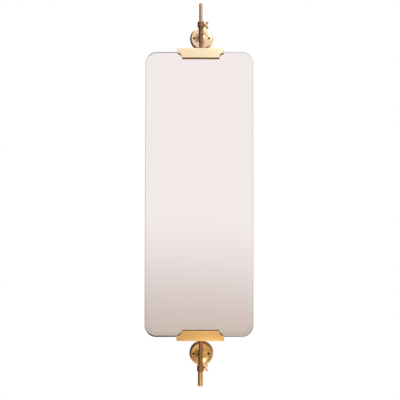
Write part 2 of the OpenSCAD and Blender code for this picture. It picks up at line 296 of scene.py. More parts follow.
def turned_about_arm(arm_z):
    """Rings from the lathe: a grain that changes outwards and along, but not round the axis."""
    def grain(finish):
        radius, along = finish.around_arm(arm_z)
        return finish.noise(finish.join(radius, along, 0), 1500, 3, 0.6)
    return grain


print(turned_about_arm.__doc__)

# %% [markdown]
# ## Drawing an outline and turning it
#
# Most of these pieces start from a line: the section of a turned piece, or the outline of a
# flat one. A `Pen` draws that line in the XZ plane with a few moves. Straight moves add a vertex
# and an edge. A round move spins the last vertex about a centre, and two more moves draw the
# rounded outer corners that nearly every turned piece has at its ends. The finished line is then
# spun once round the Z axis, as a lathe does, or filled to make a face that can be extruded.

# %% The pen
class Pen:
    """Draws a line of vertices in the XZ plane, in millimetres."""

    def __init__(self, x, z):
        self.bm = bmesh.new()
        self.tip = self.start = self.bm.verts.new((x * mm, 0, z * mm))

    def to(self, x, z):
        tip = self.bm.verts.new((x * mm, 0, z * mm))
        self.bm.edges.new((self.tip, tip))
        self.tip = tip
        return self

    def round(self, x, z, degrees, steps=8):
        """Carries the tip round (x, z), anticlockwise as seen from the front."""
        spun = bmesh.ops.spin(self.bm, geom=[self.tip], cent=(x * mm, 0, z * mm),
                              axis=(0, -1, 0), angle=math.radians(degrees), steps=steps)
        self.tip = spun["geom_last"][0]
        return self

    def out_round(self, x, z, radius, steps=3):
        """Goes out along a lower end face and round its corner (x, z), up to the side."""
        return self.to(x - radius, z).round(x - radius, z + radius, 90, steps)

    def in_round(self, x, z, radius, steps=3):
        """Goes up a side and round its corner (x, z), in to the upper end face."""
        return self.to(x, z - radius).round(x - radius, z - radius, 90, steps)

    def turned(self, steps=96):
        """Spins the line once round the Z axis and closes it."""
        bmesh.ops.spin(self.bm, geom=self.bm.verts[:] + self.bm.edges[:], cent=(0, 0, 0),
                       axis=(0, 0, 1), angle=math.tau, steps=steps, use_merge=True)
        bmesh.ops.remove_doubles(self.bm, verts=self.bm.verts, dist=1e-7)
        bmesh.ops.recalc_face_normals(self.bm, faces=self.bm.faces)
        return self.bm

    def filled(self):
        """Closes the line and fills it with one face."""
        self.bm.edges.new((self.tip, self.start))
        bmesh.ops.contextual_create(self.bm, geom=self.bm.edges[:])
        return self.bm


def drum(radius, low, high, steps=64):
    """A plain turned cylinder round Z, from low to high."""
    return Pen(0, low).to(radius, low).to(radius, high).to(0, high).turned(steps)


def stepped_drum(low_r, low_top, high_r, high_low, high, steps):
    """The tool for a hole that goes from one radius to another, through a plate of that height."""
    pen = Pen(0, -1).to(low_r, -1).to(low_r, low_top).to(high_r, high_low)
    return pen.to(high_r, high + 1).to(0, high + 1).turned(steps)


trial = drum(6, 0, 10)
print("a drum has", len(trial.faces), "faces")
trial.free()

# %% Plates and soft edges
def thickened(bm, depth):
    """Pulls the only face of bm towards -Y into a plate, and returns the plate's front face."""
    made = bmesh.ops.extrude_face_region(bm, geom=bm.faces[:])
    front = [item for item in made["geom"] if isinstance(item, bmesh.types.BMFace)]
    pulled = [item for item in made["geom"] if isinstance(item, bmesh.types.BMVert)]
    bmesh.ops.translate(bm, verts=pulled, vec=(0, -depth * mm, 0))
    bmesh.ops.recalc_face_normals(bm, faces=bm.faces)
    return front


def soften(bm, edges, width, segments=2):
    """Rounds the given edges off, width in millimetres."""
    bmesh.ops.bevel(bm, geom=edges, offset=width * mm, offset_type="OFFSET", affect="EDGES",
                    segments=segments, profile=0.5, material=-1, clamp_overlap=True)


def sharp_edges(bm, degrees=40):
    least = math.radians(degrees)
    return [e for e in bm.edges if e.is_manifold and e.calc_face_angle(0) > least]


trial = Pen(0, 0).to(10, 0).to(10, 10).to(0, 10).filled()
thickened(trial, 2)
soften(trial, sharp_edges(trial), 0.5)
print("a soft-edged plate has", len(trial.faces), "faces")
trial.free()

# %% [markdown]
# ## Joining, drilling and casting
#
# Holes are cut and bosses joined with a Boolean modifier, whose result is read back at once.
# Where a hole just touches an edge, the Boolean leaves slivers without area, so points closer
# than 2 thousandths of a millimetre are merged. A casting has no crisp inner corners, so a cast
# piece is joined from simple shapes, wrapped in one even skin by a voxel remesh, and smoothed a
# little. That turns every seam into a fillet.

# %% Boolean
SLIVER = 2e-6


def in_scene(bm, name):
    mesh = bpy.data.meshes.new(name)
    bm.to_mesh(mesh)
    bm.free()
    thing = bpy.data.objects.new(name, mesh)
    bpy.context.scene.collection.objects.link(thing)
    return thing


def read_back(thing, extras=()):
    """The mesh of thing after its modifiers, as a bmesh. The objects are removed."""
    done = thing.evaluated_get(bpy.context.evaluated_depsgraph_get())
    result = bmesh.new()
    result.from_mesh(done.to_mesh())
    for used in (thing, *extras):
        bpy.data.objects.remove(used)
    return result


def boolean(base, tools, operation):
    thing = in_scene(base, "base")
    others = [in_scene(tool, "tool") for tool in tools]
    for other in others:
        step = thing.modifiers.new("boolean", "BOOLEAN")
        step.object, step.operation, step.solver = other, operation, "EXACT"
    cut = read_back(thing, others)
    bmesh.ops.remove_doubles(cut, verts=cut.verts, dist=SLIVER)
    bmesh.ops.dissolve_degenerate(cut, dist=SLIVER, edges=cut.edges)
    return cut


trial = boolean(drum(6, 0, 10), [drum(3, -1, 11)], "DIFFERENCE")
print("a drilled drum has", len(trial.faces), "faces")
trial.free()

# %% Casting
def cast(base, parts, voxel, passes):
    """Joins the parts in one skin of that voxel size, in millimetres, and smooths it."""
    joined = in_scene(boolean(base, parts, "UNION"), "casting")
    skin = joined.modifiers.new("skin", "REMESH")
    skin.mode, skin.voxel_size = "VOXEL", voxel * mm
    bm = read_back(joined)
    for _ in range(passes):
        bmesh.ops.smooth_vert(bm, verts=bm.verts, factor=0.5,
                              use_axis_x=True, use_axis_y=True, use_axis_z=True)
    print("cast in", len(bm.faces), "faces of", voxel, "mm")
    return bm


cast(drum(6, 0, 10), [drum(3, 5, 15)], 0.5, 2).free()

# %% [markdown]
# ## Putting a piece in its place
#
# A bracket's pieces are drawn round the origin with the collar upwards, and moved into place in
# the mesh itself. The lower bracket is the upper one upside down, so its pieces are mirrored in
# Z, which turns the faces inside out, and they are turned back at once. `dress` makes the
# object, hides the solid that it stands for, hangs it on the body that carries it, and gives
# it its finish.

# %% Places
def middle_z(corners):
    """The height of the middle between two corners, in millimetres."""
    return round((corners[0].z + corners[1].z) / 2 / mm, 3)


SIDES = ("upper", "lower")
ARM_Z = {"upper": middle_z(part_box("upper_wall_plate")), "lower": 0}
AXIS_Y = -75
OUT_OF_WALL = Matrix.Rotation(math.pi / 2, 4, "X")
TO_THE_RIGHT = Matrix.Rotation(math.pi / 2, 4, "Y")
UPSIDE_DOWN = Matrix.Scale(-1, 4, (0, 0, 1))
print("the arms are at", ARM_Z, "mm")


def at(x, y, z):
    return Matrix.Translation((x * mm, y * mm, z * mm))


def bracket_place(side):
    """Where a bracket's piece goes that is drawn round the arm's axis with its collar upwards."""
    return at(0, 0, ARM_Z["upper"]) if side == "upper" else UPSIDE_DOWN


def moved(bm, matrix):
    bmesh.ops.transform(bm, matrix=matrix, verts=bm.verts)
    if matrix.is_negative:
        bmesh.ops.reverse_faces(bm, faces=bm.faces)
    return bm


# %% Dressing a solid
def dress(bm, name, node, *materials, sharp=30):
    """Makes the piece that is shown in place of a solid. Edges over sharp degrees stay crisp."""
    piece = in_scene(bm, name)
    piece.data.shade_smooth()
    piece.data.set_sharp_from_angle(angle=math.radians(sharp))
    for material in materials:
        piece.data.materials.append(material)
    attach(piece, body_of[node])
    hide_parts(node)
    size = [round(length / mm, 1) for length in piece.dimensions]
    print(name, size, "mm,", len(piece.data.polygons), "faces")
    return piece


# %% [markdown]
# ## The glass
#
# The plate has four round corners and an 18 mm bevelled margin. It could be a Boolean of cones
# and wedges, but a plate is quicker: one square face, its four corners bevelled to arcs, pulled
# to the thickness of the edge, and then inset by the margin while the middle rises. An inset
# keeps the margin the same width round the corners, as a bevelling wheel does. The thin arris
# where the margin meets the ground edge is what draws the grey line round the mirror. The margin
# falls by only 1 mm, so it hardly shows from in front. Each face takes one of three finishes, by
# the way it looks: silvered towards the room, painted towards the wall, and ground at the edge.

# %% Glass plate
GLASS_CORNER, BEVEL_W, BEVEL_DROP = 40, 18, 1
ARRIS_FRONT, ARRIS_BACK = 1.1, 0.6
SILVERED, GROUND, PAINTED = 0, 1, 2
glass_low, glass_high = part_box("mirror_glass")
glass_size = (glass_high - glass_low) / mm
glass_middle = (glass_low + glass_high) / 2 / mm


def glass_plate():
    bm = bmesh.new()
    bmesh.ops.create_grid(bm, x_segments=1, y_segments=1, size=0.5)
    bmesh.ops.transform(bm, matrix=Matrix.Diagonal((glass_size.x * mm, glass_size.z * mm, 1, 1)),
                        verts=bm.verts)
    bmesh.ops.bevel(bm, geom=bm.verts[:], offset=GLASS_CORNER * mm, offset_type="OFFSET",
                    affect="VERTICES", segments=60, profile=0.5, material=-1)
    moved(bm, OUT_OF_WALL)
    edge_t = glass_size.y - BEVEL_DROP
    front = thickened(bm, edge_t)
    bmesh.ops.inset_region(bm, faces=front, thickness=BEVEL_W * mm, depth=BEVEL_DROP * mm,
                           use_even_offset=True)
    rims = {0: ARRIS_BACK, edge_t: ARRIS_FRONT}
    for depth, width in rims.items():
        rim = [e for e in bm.edges if all(abs(v.co.y + depth * mm) < 1e-6 for v in e.verts)
               and any(abs(f.normal.y) < 0.1 for f in e.link_faces)]
        soften(bm, rim, width)
    moved(bm, at(glass_middle.x, glass_high.y / mm, glass_middle.z))
    for face in bm.faces:
        to_wall = face.normal.y
        face.material_index = PAINTED if to_wall > 0.9 else GROUND if to_wall > -0.97 else SILVERED
    return bm


plate_bm = glass_plate()
print("glass", glass_size, "mm,", len(plate_bm.faces), "faces")

# %% [markdown]
# ## The finish of the glass
#
# A mirror is clear glass with silver behind it. Real glass in front of the silver would be slow
# to render and hard to export, and from in front it looks the same as bright metal. So the face
# and the bevel are a metal of 92 % reflectance that is hardly rough at all. A dark line of painted
# shade runs in from the edge at the top and the foot, most at the lower left, and dust dulls the
# silver a little towards the margin. Both follow the distance to the outline, which a rounded box
# gives as a formula. A faint brown band beside each jaw, stronger at the top, is a painted
# reflection of the jaw's inner edge.

# %% Distances on the glass
def from_middle(finish):
    """How far a point lies from the glass's middle, across and up, in metres."""
    x, _, z = finish.split(finish.place)
    across, up = x - glass_middle.x * mm, z - glass_middle.z * mm
    return across.maths("ABSOLUTE"), up.maths("ABSOLUTE")


def to_outline(finish):
    """How far a point of the glass lies inside its rounded outline, in metres."""
    across, up = from_middle(finish)
    past_x = (across - (glass_size.x / 2 - GLASS_CORNER) * mm).maths("MAXIMUM", 0)
    past_z = (up - (glass_size.z / 2 - GLASS_CORNER) * mm).maths("MAXIMUM", 0)
    return GLASS_CORNER * mm - (past_x * past_x + past_z * past_z) ** 0.5


print("the glass's middle is at", glass_middle, "mm")

# %% Silvering
LINE_W, LINE_SOFT, RAGGED_W = 0.0016, 0.0012, 0.004
LINE_AT_RIGHT, LINE_AT_TOP, LINE_AT_SIDES = 0.45, 0.72, 0.12
JAW_REFLECTION_Z, JAW_REFLECTION_X = (0.022, 0.024, 0.0255, 0.03), (0.064, 0.067)


def painted_edge_shade(finish):
    """How dark the painted shade along the silvering's edge is, 0 to 1."""
    x, _, z = finish.split(finish.place)
    height = from_middle(finish)[1] / (glass_size.z / 2 * mm)
    ends = LINE_AT_SIDES + finish.between(height, 0.955, 0.985) * (1 - LINE_AT_SIDES)
    side, foot = (
        finish.node("ShaderNodeMapRange", {}, {"Value": value, "From Min": low, "From Max": high,
                                               "To Min": 1, "To Max": last})
        for value, low, high, last in ((x, -0.12, 0.14, LINE_AT_RIGHT), (z, 0.1, 1, LINE_AT_TOP)))
    on_the_left = (side - LINE_AT_RIGHT) / (1 - LINE_AT_RIGHT)
    near_the_foot = 1 - finish.between(z, 0.1, 0.3)
    solid = LINE_W + on_the_left * (0.0005 + near_the_foot * 0.0011)
    ragged_edge = finish.noise(finish.place, 70, 5, 0.7)
    faded = solid + LINE_SOFT + ragged_edge * RAGGED_W * foot
    return (1 - finish.between(to_outline(finish), solid, faded)) * ends * side * foot


def painted_jaw_reflection(finish):
    """The painted reflection of the jaws' inner edges, beside the jaws, 0 to 1."""
    x, _, z = finish.split(finish.place)
    from_end = glass_size.z / 2 * mm - from_middle(finish)[1]
    start, full, fade, end = JAW_REFLECTION_Z
    strip = finish.between(from_end, start, full) * (1 - finish.between(from_end, fade, end))
    strip = strip * (1 - finish.between(x.maths("ABSOLUTE"), *JAW_REFLECTION_X))
    return strip * (0.3 + finish.between(z, 0.3, 0.8) * 0.5)


def silvering():
    finish = Finish("silvering", Metallic=1.0)
    # dark is the painted shade along the glass's edge.
    dark = painted_edge_shade(finish)
    smear = finish.noise(finish.stretched(5, 5, 2), 1, 4)
    dust = finish.noise(finish.place, 1600, 2)
    margin = 1 - finish.between(to_outline(finish), BEVEL_W * mm, BEVEL_W * mm + 0.012)
    clean = finish.mix(smear, (0.92, 0.922, 0.918, 1), (0.93, 0.93, 0.925, 1))
    # The brown beside the jaws is a painted reflection of their inner edges.
    clean = finish.mix(painted_jaw_reflection(finish), clean, rgba("#cfa977"))
    rough = 0.012 + smear * 0.012 + margin * dust * 0.02 + dark * 0.3
    waves = finish.noise(finish.stretched(3, 3, 2.2), 1, 2)
    return finish.done(finish.mix(dark, clean, rgba("#3b3a37")), rough, waves, 0.00002)


silver = silvering()

# %% Ground edge and back paint
def ground_edge():
    finish = Finish("ground_glass_edge", IOR=1.5)
    grind = finish.noise(finish.place, 1400, 3)
    green = finish.mix(finish.noise(finish.place, 30, 2), rgba("#8f9a96"), rgba("#7c8581"))
    return finish.done(green, 0.22 + grind * 0.25, grind, 0.00003)


def back_paint():
    finish = Finish("back_paint", IOR=1.5)
    brush = finish.noise(finish.stretched(40, 40, 2), 1, 5)
    chips = finish.between(finish.noise(finish.place, 260, 3), 0.68, 0.72)
    grey = finish.mix(brush, rgba("#5d6663"), rgba("#6d7672"))
    grey = finish.mix(chips, grey, rgba("#8d8f8c"))
    return finish.done(grey, 0.45 + brush * 0.2, brush, 0.00005)


glass = dress(plate_bm, "glass_plate", "mirror_glass", silver, ground_edge(), back_paint(),
              sharp=2)

# %% [markdown]
# ## The front jaws
#
# A front jaw is a bar of polished brass whose two corners towards the glass are scooped out.
# The outline is drawn once with its two coves, filled, and pulled to its 10 mm. A small bevel
# rounds every front edge, because that is where polished metal shows its bright line. Brass is
# brushed along a bar, so the grain runs in X. The coves and the inner edge, which faces the glass,
# are darkened with painted shade, and the upper jaw is painted paler than the lower one for the
# stronger light that falls on it.

# %% Front jaws
CLAMP_W, CLAMP_H, COVE_R, JAW_T = 165, 34, 17, 10
JAW_EDGE, COVE_STEPS = 1.6, 20


def jaw_outline():
    half = CLAMP_W / 2
    pen = Pen(-half, 0).to(half, 0).to(half, CLAMP_H - COVE_R)
    pen.round(half, CLAMP_H, -90, COVE_STEPS)
    pen.to(COVE_R - half, CLAMP_H).round(-half, CLAMP_H, -90, COVE_STEPS)
    return pen.filled()


def clamp_place(side, back_y):
    """Where a clamp's piece goes that is drawn upwards from the clamp's outer edge."""
    low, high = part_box(side + "_clamp_front")
    if side == "upper":
        return at(0, back_y, high.z / mm) @ UPSIDE_DOWN
    return at(0, back_y, low.z / mm)


def front_jaw(side):
    bm = jaw_outline()
    front = thickened(bm, JAW_T)
    rim = [e for face in front for e in face.edges]
    soften(bm, rim, JAW_EDGE, 4)
    return moved(bm, clamp_place(side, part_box(side + "_clamp_front")[1].y / mm))


print("jaws are", CLAMP_W, "x", CLAMP_H, "x", JAW_T, "mm")

# %% The jaws' finish
def painted_shade_inside(side, shade_depth):
    """Painted shade in a jaw's coves and on its inner edge, from the given depth in millimetres
    back.
    """
    low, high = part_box(side + "_clamp_front")
    inner_z = low.z if side == "upper" else high.z
    way = 1 if side == "upper" else -1

    def dirt_and_shade(finish):
        x, y, z = finish.split(finish.place)
        from_inner = (z - inner_z) * way
        in_cove = finish.between(x.maths("ABSOLUTE"), (CLAMP_W / 2 - COVE_R - 1) * mm,
                                 (CLAMP_W / 2 - COVE_R + 1) * mm)
        in_cove = in_cove * (1 - finish.between(from_inner, (COVE_R - 1) * mm, COVE_R * mm))
        inner = 1 - finish.between(from_inner, 0.4 * mm, 1.2 * mm)
        depth = y - low.y
        behind = finish.between(depth, shade_depth * mm, (shade_depth + 0.8) * mm)
        cove_side = finish.between(depth, 0.2 * mm, 1 * mm)
        return finish.clamp(inner * behind + in_cove * cove_side) * 1.6
    return dirt_and_shade


# The upper jaw's paler metal and tarnish are painted light: the same brass as the lower jaw,
# painted paler for the stronger light that falls on it.
jaw_brass = {
    "upper": brass("upper_jaw_brass", "#fff0ca", "#5f3d20", 0.1, 0.3, brushed_along_x,
                   painted_shade_inside("upper", 0.1), 0.000004, 0.96),
    "lower": brass("lower_jaw_brass", "#e2b36c", "#3f2812", 0.1, 0.42, brushed_along_x,
                   painted_shade_inside("lower", 7), 0.000004, 0.96),
}
for side in SIDES:
    dress(front_jaw(side), side + "_front_jaw", side + "_clamp_front", jaw_brass[side])

# %% [markdown]
# ## The back jaws
#
# A back jaw has the same outline, 4 mm thick, and a bar along its outer edge that crosses the
# edge of the glass and takes the rod. Cutting the outline along the bar's edge and pulling only
# that strip forwards makes both from one plate. Four countersunk holes take the screws from
# behind, one small hole takes the grub screw, and one from the outer edge takes the rod.

# %% Back jaws
BACK_T, BAR_H, SLOT_T = 4, 10, 10.5
BLOCK_T = BACK_T + SLOT_T
SCREW_X, SCREW_D, HEAD_D = (-69.5, -28, 28, 69.5), 4.5, 8.5
GRUB_R, SPIGOT_R, SPIGOT_L = 2, 4, 9
BACK_EDGE = 0.5


def back_jaw(side):
    bm = jaw_outline()
    bmesh.ops.bisect_plane(bm, geom=bm.verts[:] + bm.edges[:] + bm.faces[:],
                           plane_co=(0, 0, BAR_H * mm), plane_no=(0, 0, 1))
    front = thickened(bm, BACK_T)
    bar = [f for f in front if f.calc_center_median().z < BAR_H * mm]
    made = bmesh.ops.extrude_face_region(bm, geom=bar)
    strip = [item for item in made["geom"] if isinstance(item, bmesh.types.BMVert)]
    bmesh.ops.translate(bm, verts=strip, vec=(0, -SLOT_T * mm, 0))
    bmesh.ops.delete(bm, geom=bar, context="FACES_ONLY")
    bmesh.ops.dissolve_limit(bm, angle_limit=math.radians(1), verts=bm.verts, edges=bm.edges)
    soften(bm, sharp_edges(bm), BACK_EDGE)
    holes = []
    sunk = (HEAD_D - SCREW_D) / 2
    for x in SCREW_X:
        hole = stepped_drum(HEAD_D / 2, 0, SCREW_D / 2, sunk, BLOCK_T, 40)
        holes.append(moved(hole, at(x, 0, BAR_H / 2) @ OUT_OF_WALL))
    holes.append(moved(drum(GRUB_R, -1, BLOCK_T / 2), at(0, 0, BAR_H / 2) @ OUT_OF_WALL))
    holes.append(moved(drum(SPIGOT_R, -1, SPIGOT_L), at(0, -BLOCK_T / 2, 0)))
    bm = boolean(bm, holes, "DIFFERENCE")
    return moved(bm, clamp_place(side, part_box(side + "_clamp_back")[1].y / mm))


back_brass = brass("back_jaw_brass", "#d9a75c", "#7c5529", 0.5, 0.34, brushed_along_x)
for side in SIDES:
    dress(back_jaw(side), side + "_back_jaw", side + "_clamp_back", back_brass)

# %% [markdown]
# ## Rods and post
#
# These are turned from drawn bar. Each is one line, from the axis at one end to the axis at the
# other, spun round Z. The lower rod and the post both end in a hollow that is a little larger
# than the ball between them, so the rod turns on the ball and not on the post. Below the height
# of the upper arm the rods are painted brown as painted shade, so the upper rod is pale only
# above its bracket.

# %% Rods
ROD_R, ROD_END_ROUND, EDGE_ROUND = 6, 1.4, 0.4
BALL_Z, BALL_CUP_R = middle_z(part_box("thrust_ball")), 4.05
ROD_AXIS = at(0, AXIS_Y, 0)


def rim_angle(end_z):
    """The turn round the ball's middle from the axis to where the hollow meets the end face."""
    return math.degrees(math.acos(abs(end_z - BALL_Z) / BALL_CUP_R))


def upper_rod():
    low, high = (v.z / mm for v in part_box("upper_rod"))
    shoulder = low + SPIGOT_L
    pen = Pen(0, low).to(SPIGOT_R, low).to(SPIGOT_R, shoulder).to(ROD_R, shoulder)
    pen.in_round(ROD_R, high, ROD_END_ROUND, 5).to(0, high)
    return moved(pen.turned(), ROD_AXIS)


def lower_rod():
    low, high = (v.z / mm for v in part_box("lower_rod"))
    shoulder = high - SPIGOT_L
    pen = Pen(0, BALL_Z + BALL_CUP_R).round(0, BALL_Z, -rim_angle(low), 8)
    pen.out_round(ROD_R, low, EDGE_ROUND)
    pen.to(ROD_R, shoulder).to(SPIGOT_R, shoulder).to(SPIGOT_R, high).to(0, high)
    return moved(pen.turned(), ROD_AXIS)


def painted_shade_below(level):
    """Painted shade: darker everywhere below a height, in millimetres."""
    def dirt_and_shade(finish):
        z = finish.split(finish.place)[2]
        return 1 - finish.between(z, (level - 4) * mm, (level + 4) * mm)
    return dirt_and_shade


rod_brass = brass("rod_brass", "#b09173", "#86614a", 0.25, 0.36, drawn_along_z,
                  painted_shade_below(ARM_Z["upper"]), 0.000008)
dress(upper_rod(), "upper_rod_bar", "upper_rod", rod_brass)
dress(lower_rod(), "lower_rod_bar", "lower_rod", rod_brass)

# %% Post
GRIP_R, GRIP_TOP, GRIP_END_ROUND, GRIP_TOP_ROUND = 9, -45, 3.2, 0.5


def lower_post():
    low, high = (v.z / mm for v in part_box("lower_post"))
    pen = Pen(0, low).out_round(GRIP_R, low, GRIP_END_ROUND, 8)
    pen.in_round(GRIP_R, GRIP_TOP, GRIP_TOP_ROUND)
    pen.to(ROD_R, GRIP_TOP).in_round(ROD_R, high, EDGE_ROUND)
    rim_r = BALL_CUP_R * math.sin(math.radians(rim_angle(high)))
    pen.to(rim_r, high).round(0, BALL_Z, -rim_angle(high), 8)
    return moved(pen.turned(), ROD_AXIS)


post_brass = brass("post_brass", "#d2a56e", "#8f6c40", 0.4, 0.42, drawn_along_z, depth=0.000008)
dress(lower_post(), "lower_post_bar", "lower_post", post_brass)

# %% [markdown]
# ## Wall plates
#
# A wall plate is a disc, 20 mm thick, turned on a lathe. From the arm's foot its front falls in
# a low dome to a rounded-over edge, so its section is one line with two arcs. The two holes for
# the wall screws are countersunk, and behind the plate a recess takes the head of the bolt that
# holds the arm. An oval to the left of the foot is the arm's painted shadow, and the back is
# darker because it was never polished. On the lower plate the upper rim, under the clamp, is
# painted shade, and the right half is a little darker.

# %% Wall plates
PLATE_R, PLATE_T, ROUND_R, ROUND_TURN = 43, 20, 10, 84
FLAT_R, RIM_T, RISE = 18, 18, 0.25
HOLE_X, HOLE_R, SINK_R, HOLE_T = 27.5, 3.25, 4.5, 18.9
RECESS_R, RECESS_H, BOLT_HOLE_R = 7, 6.5, 4.25


def arc_centre(start, end, bulge):
    """The middle of the arc from start to end that stands bulge proud of the straight line."""
    start, end = Vector(start), Vector(end)
    half = (end - start) / 2
    down = (half.length ** 2 - bulge ** 2) / (2 * bulge)
    outwards = Vector((half.y, -half.x)).normalized()
    return start + half - outwards * down, 2 * math.degrees(math.atan2(half.length, down))


def wall_plate(side):
    pen = Pen(0, 0).out_round(PLATE_R, 0, EDGE_ROUND).to(PLATE_R, RIM_T - ROUND_R)
    pen.round(PLATE_R - ROUND_R, RIM_T - ROUND_R, ROUND_TURN, 14)
    tip = Vector((pen.tip.co.x, pen.tip.co.z)) / mm
    middle, turn = arc_centre(tip, (FLAT_R, PLATE_T), RISE)
    bm = pen.round(*middle, turn, 12).to(0, PLATE_T).turned(160)
    sink_low = HOLE_T - (SINK_R - HOLE_R)
    tools = [moved(stepped_drum(HOLE_R, sink_low, SINK_R, HOLE_T, PLATE_T, 48), at(x, 0, 0))
             for x in (-HOLE_X, HOLE_X)]
    tools.append(stepped_drum(RECESS_R, RECESS_H, BOLT_HOLE_R, RECESS_H, PLATE_T, 64))
    bm = boolean(bm, tools, "DIFFERENCE")
    return moved(bm, bracket_place(side) @ OUT_OF_WALL)


print("wall plates are", 2 * PLATE_R, "mm across and", PLATE_T, "mm thick")

# %% The brackets' finish
# The upper bracket's paler metal and tarnish are painted light: one brass, painted paler on the
# upper bracket for the stronger light there.
BRACKET_METAL = {"upper": "#fbe0bc", "lower": "#e4b36c"}
BRACKET_TARNISH = {"upper": "#a8865f", "lower": "#7a5529"}
PLATE_GLOSS = {"upper": 0.22, "lower": 0.2}
OVAL_X, OVAL_HALF_W, OVAL_HALF_H = -0.017, 0.0085, 0.017


def painted_shadow_beside_foot(finish, arm_z):
    """The arm's painted shadow to the left of the foot, as a soft upright oval on the plate's
    front.
    """
    x, y, z = finish.split(finish.place)
    across = (x - OVAL_X) / OVAL_HALF_W
    up = (z - arm_z * mm) / OVAL_HALF_H
    oval = 1 - finish.between(across * across + up * up, 0.25, 1.3)
    return oval * finish.between(y * -1, 0.012, 0.016)


def bracket_dirt_and_shade(side):
    """The painted shadow, the dull back and, on the lower bracket, painted shade on the upper rim
    and a darker right half.
    """
    def dirt_and_shade(finish):
        x, y, z = finish.split(finish.place)
        total = painted_shadow_beside_foot(finish, ARM_Z[side]) * 1.1
        total = total + finish.between(y, -0.0008, -0.0002) * 1.2
        if side == "lower":
            radius, _ = finish.around_arm(ARM_Z[side])
            # Painted shade on the lower plate's upper rim, under the clamp.
            rim_shade = finish.between(radius, 0.034, 0.041) * finish.between(z, 0, 0.026)
            total = total + rim_shade * 1.6 + finish.between(x, 0.008, 0.024) * 0.35
        return total
    return dirt_and_shade


def bracket_brass(side, kind, cover, gloss, depth):
    return brass(side + "_" + kind + "_brass", BRACKET_METAL[side], BRACKET_TARNISH[side], cover,
                 gloss, turned_about_arm(ARM_Z[side]), bracket_dirt_and_shade(side), depth)


for side in SIDES:
    plate_brass = bracket_brass(side, "plate", 0.3, PLATE_GLOSS[side], 0.000004)
    dress(wall_plate(side), side + "_wall_disc", side + "_wall_plate", plate_brass)

# %% [markdown]
# ## Arms
#
# The arm stands on the plate with a wide foot, sweeps up in a cove and ends in a ring against
# the sleeve. It is turned too, so it is one line again, and the cove is an arc round a point
# outside the metal.

# %% Arms
ARM_R, ARM_L, FOOT_R, FOOT_T, FOOT_ROUND, FOOT_COVE = 7, 39, 17, 2.5, 0.8, 8
RING_R, RING_L, ARM_SPIGOT_L = 8, 3, 6


def arm(side):
    pen = Pen(0, 0).to(FOOT_R, 0).in_round(FOOT_R, FOOT_T, FOOT_ROUND, 5)
    pen.to(ARM_R + FOOT_COVE, FOOT_T).round(ARM_R + FOOT_COVE, FOOT_T + FOOT_COVE, -90, 14)
    pen.to(ARM_R, ARM_L - RING_L).out_round(RING_R, ARM_L - RING_L, EDGE_ROUND)
    pen.to(RING_R, ARM_L).to(SPIGOT_R, ARM_L)
    pen.to(SPIGOT_R, ARM_L + ARM_SPIGOT_L).to(0, ARM_L + ARM_SPIGOT_L)
    return moved(pen.turned(), bracket_place(side) @ at(0, -PLATE_T, 0) @ OUT_OF_WALL)


for side in SIDES:
    arm_brass = bracket_brass(side, "arm", 0.5, 0.26, 0.000006)
    dress(arm(side), side + "_arm_turning", side + "_arm", arm_brass)

# %% [markdown]
# ## Sleeves
#
# The sleeve is a casting: a tube with a knuckle where the arm meets it, a thick collar, and a
# small boss for the wing screw. The parts are joined and cast in one skin, which leaves soft
# corners, and the bores are drilled afterwards, which leaves those crisp, as on the real piece.

# %% Sleeves
SLEEVE_R, SLEEVE_ROUND, BORE_R, TAIL = 8.05, 0.5, 6.05, 29
COLLAR_Z, COLLAR_H, COLLAR_R, COLLAR_ROUND = 21.5, 23.5, 12.05, 4.6
COLLAR_TOP = COLLAR_Z + COLLAR_H
KNUCKLE_R, BOSS_REACH, SCREW_Z = 9.05, 16, 31.25
SCREW_BOSS_R, SCREW_BOSS_X, THREAD_R = 6, 14.45, 2.5
RUNNING_GAP = 0.05
TOWARD_WALL = OUT_OF_WALL.inverted()
SCREW_LINE = at(0, 0, SCREW_Z) @ TO_THE_RIGHT


def sleeve_castings():
    """The sleeve's tube, and the parts that are cast on it."""
    tube = Pen(0, -TAIL).out_round(SLEEVE_R, -TAIL, SLEEVE_ROUND)
    tube = tube.to(SLEEVE_R, COLLAR_Z + 2).to(0, COLLAR_Z + 2).turned()
    collar = Pen(0, COLLAR_Z).out_round(COLLAR_R, COLLAR_Z, COLLAR_ROUND, 10)
    collar = collar.in_round(COLLAR_R, COLLAR_TOP, COLLAR_ROUND, 10).to(0, COLLAR_TOP).turned()
    knuckle = bmesh.new()
    bmesh.ops.create_uvsphere(knuckle, u_segments=64, v_segments=32, radius=KNUCKLE_R * mm)
    boss = moved(drum(RING_R, 0, BOSS_REACH), TOWARD_WALL)
    screw_boss = moved(drum(SCREW_BOSS_R, 0, SCREW_BOSS_X), SCREW_LINE)
    return tube, [collar, knuckle, boss, screw_boss]


def sleeve(side):
    bm = cast(*sleeve_castings(), voxel=0.42, passes=5)
    bore = drum(BORE_R, -TAIL - 2, COLLAR_TOP + 2, 96)
    thread_hole = moved(drum(THREAD_R + RUNNING_GAP, 0, SCREW_BOSS_X + 2), SCREW_LINE)
    spigot_hole = moved(drum(SPIGOT_R, BOSS_REACH - ARM_SPIGOT_L, BOSS_REACH + 2), TOWARD_WALL)
    bm = boolean(bm, [bore, thread_hole, spigot_hole], "DIFFERENCE")
    return moved(bm, bracket_place(side) @ ROD_AXIS)


# The upper sleeve is painted paler and pinker than the lower one, as painted light for the
# stronger light above; the metal is the same.
sleeve_brass = {
    "upper": brass("upper_sleeve_brass", "#94765d", "#6c503c", 0.5, 0.62, as_cast, depth=0.00004),
    "lower": brass("lower_sleeve_brass", "#976d3e", "#573b20", 0.5, 0.46, as_cast, depth=0.00004),
}
for side in SIDES:
    node = side + "_sleeve"
    dress(sleeve(side), node + "_casting", node, sleeve_brass[side], sharp=35)

